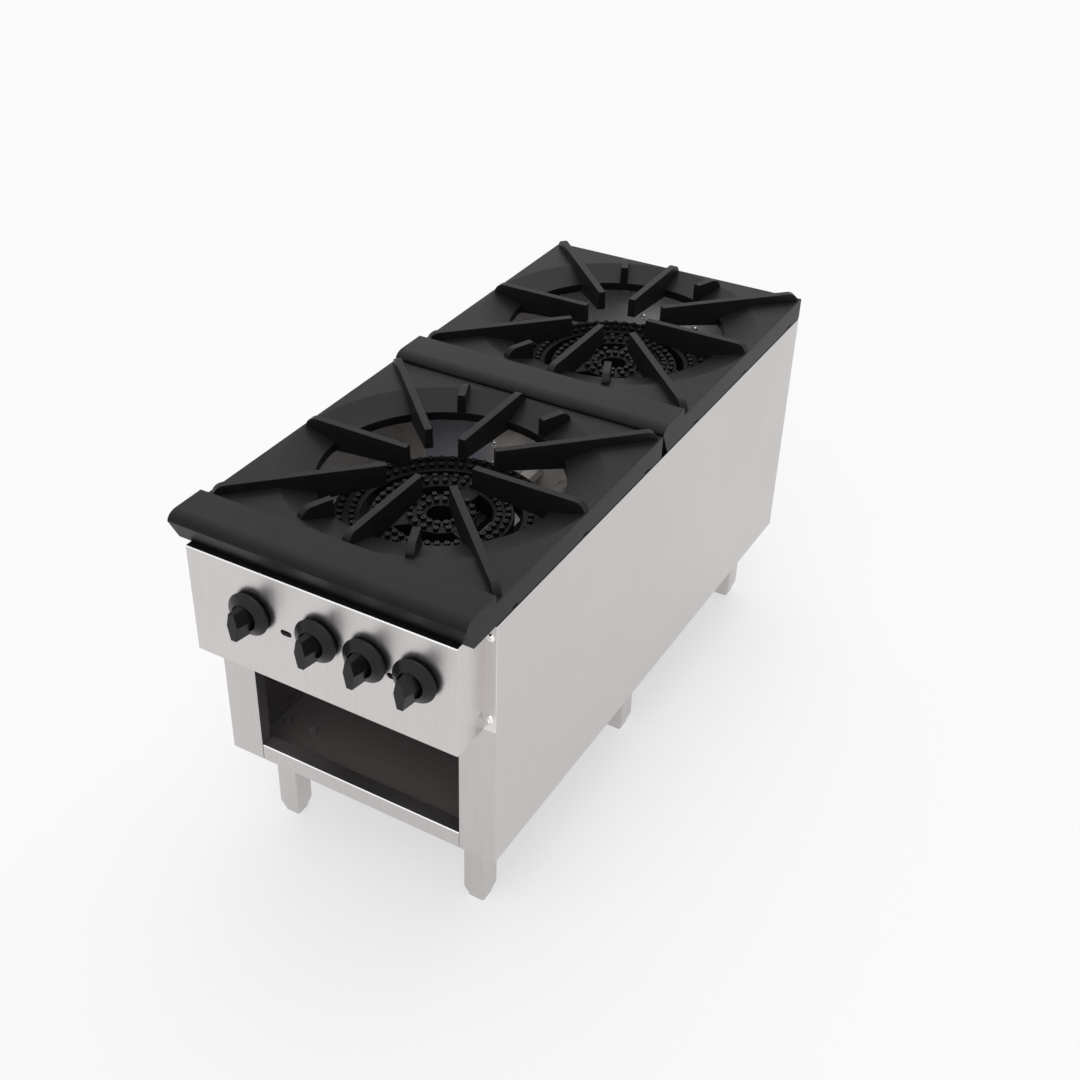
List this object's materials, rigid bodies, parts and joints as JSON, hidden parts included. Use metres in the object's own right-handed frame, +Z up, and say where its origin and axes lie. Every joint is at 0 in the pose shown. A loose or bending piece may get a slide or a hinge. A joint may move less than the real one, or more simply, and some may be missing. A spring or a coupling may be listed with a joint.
{
  "type": "stock pot range",
  "caption": "Tall gas stock pot range: a stainless sheet cabinet on square legs, cast top grates in line over ringed burners, and lever knobs on a projecting front box.",
  "frame": {"origin": "on the floor under the centre of the whole footprint, feet bottoms at z = 0", "axes": "+Z up, front with the knobs faces -Y, +X to the right seen from the front"},
  "size_m": [0.4572, 1.1176, 0.6096],
  "materials": {
    "stainless": "satin brushed",
    "inner_sheet": "bright mill",
    "cast_iron": "satin black",
    "burner_iron": "sand-cast grey black",
    "pipe": "black pipe",
    "brass": "plain",
    "knob_plastic": "semi-gloss black"
  },
  "bodies": {
    "range": {"left_side_panel": "stainless", "right_side_panel": "stainless", "back_panel": "stainless", "cabinet_floor": "inner_sheet", "front_bottom_rail": "stainless", "front_upper_rail": "stainless", "control_box": "stainless", "heat_shield": "inner_sheet", "bay_partition": "inner_sheet", "rear_liner": "inner_sheet", "left_liner": "inner_sheet", "right_liner": "inner_sheet", "left_burner_rail": "inner_sheet", "right_burner_rail": "inner_sheet", "left_tray_runner": "inner_sheet", "right_tray_runner": "inner_sheet", "front_outer_ring": "burner_iron", "front_centre_rings": "burner_iron", "rear_outer_ring": "burner_iron", "rear_centre_rings": "burner_iron", "front_outer_mixer": "burner_iron", "front_centre_mixer": "burner_iron", "rear_centre_mixer": "burner_iron", "rear_outer_mixer": "burner_iron", "gas_valve_1": "brass", "gas_valve_2": "brass", "gas_valve_3": "brass", "gas_valve_4": "brass", "orifice_hoods": "brass", "gas_manifold": "pipe", "gas_supply_pipe": "pipe", "pilot_valves": "brass", "front_pilot": "brass", "rear_pilot": "brass", "legs_left": "stainless", "legs_right": "stainless", "leg_bolts": "stainless", "shell_screws": "stainless"},
    "knob_1": {"knob_1": "knob_plastic", "valve_stem_1": "brass"},
    "air_shutter_1": {"air_shutter_1": "stainless"},
    "knob_2": {"knob_2": "knob_plastic", "valve_stem_2": "brass"},
    "air_shutter_2": {"air_shutter_2": "stainless"},
    "knob_3": {"knob_3": "knob_plastic", "valve_stem_3": "brass"},
    "air_shutter_3": {"air_shutter_3": "stainless"},
    "knob_4": {"knob_4": "knob_plastic", "valve_stem_4": "brass"},
    "air_shutter_4": {"air_shutter_4": "stainless"},
    "drip_tray": {"drip_tray": "stainless"},
    "front_grate": {"front_grate": "cast_iron"},
    "rear_grate": {"rear_grate": "cast_iron"},
    "foot_front_left": {"foot_front_left": "stainless"},
    "foot_front_right": {"foot_front_right": "stainless"},
    "foot_middle_left": {"foot_middle_left": "stainless"},
    "foot_middle_right": {"foot_middle_right": "stainless"},
    "foot_rear_left": {"foot_rear_left": "stainless"},
    "foot_rear_right": {"foot_rear_right": "stainless"}
  },
  "joints": [
    {"name": "knob_1_turn", "type": "hinge", "parent": "range", "child": "knob_1", "pos_m": [-0.106, -0.5168, 0.4928], "axis": [0, 1, 0], "range_deg": [0, 90]},
    {"name": "knob_2_turn", "type": "hinge", "parent": "range", "child": "knob_2", "pos_m": [0.0025, -0.5168, 0.4928], "axis": [0, 1, 0], "range_deg": [0, 90]},
    {"name": "knob_3_turn", "type": "hinge", "parent": "range", "child": "knob_3", "pos_m": [0.078, -0.5168, 0.4928], "axis": [0, 1, 0], "range_deg": [0, 90]},
    {"name": "knob_4_turn", "type": "hinge", "parent": "range", "child": "knob_4", "pos_m": [0.1535, -0.5168, 0.4928], "axis": [0, 1, 0], "range_deg": [0, 90]},
    {"name": "air_shutter_1_turn", "type": "hinge", "parent": "range", "child": "air_shutter_1", "pos_m": [-0.106, -0.4516, 0.4585], "axis": [0, -1, 0], "range_deg": [0, 60]},
    {"name": "air_shutter_2_turn", "type": "hinge", "parent": "range", "child": "air_shutter_2", "pos_m": [0.0025, -0.4516, 0.4585], "axis": [0, -1, 0], "range_deg": [0, 60]},
    {"name": "air_shutter_3_turn", "type": "hinge", "parent": "range", "child": "air_shutter_3", "pos_m": [0.078, -0.4516, 0.4585], "axis": [0, -1, 0], "range_deg": [0, 60]},
    {"name": "air_shutter_4_turn", "type": "hinge", "parent": "range", "child": "air_shutter_4", "pos_m": [0.1535, -0.4516, 0.4585], "axis": [0, -1, 0], "range_deg": [0, 60]},
    {"name": "drip_tray_slide", "type": "slide", "parent": "range", "child": "drip_tray", "axis": [0, -1, 0], "range_m": [0, 0.6]},
    {"name": "front_grate_lift", "type": "slide", "parent": "range", "child": "front_grate", "axis": [0, 0, 1], "range_m": [0, 0.12]},
    {"name": "rear_grate_lift", "type": "slide", "parent": "range", "child": "rear_grate", "axis": [0, 0, 1], "range_m": [0, 0.12]},
    {"name": "foot_front_left_height", "type": "slide", "parent": "range", "child": "foot_front_left", "axis": [0, 0, -1], "range_m": [0, 0.025]},
    {"name": "foot_front_right_height", "type": "slide", "parent": "range", "child": "foot_front_right", "axis": [0, 0, -1], "range_m": [0, 0.025]},
    {"name": "foot_middle_left_height", "type": "slide", "parent": "range", "child": "foot_middle_left", "axis": [0, 0, -1], "range_m": [0, 0.025]},
    {"name": "foot_middle_right_height", "type": "slide", "parent": "range", "child": "foot_middle_right", "axis": [0, 0, -1], "range_m": [0, 0.025]},
    {"name": "foot_rear_left_height", "type": "slide", "parent": "range", "child": "foot_rear_left", "axis": [0, 0, -1], "range_m": [0, 0.025]},
    {"name": "foot_rear_right_height", "type": "slide", "parent": "range", "child": "foot_rear_right", "axis": [0, 0, -1], "range_m": [0, 0.025]}
  ]
}
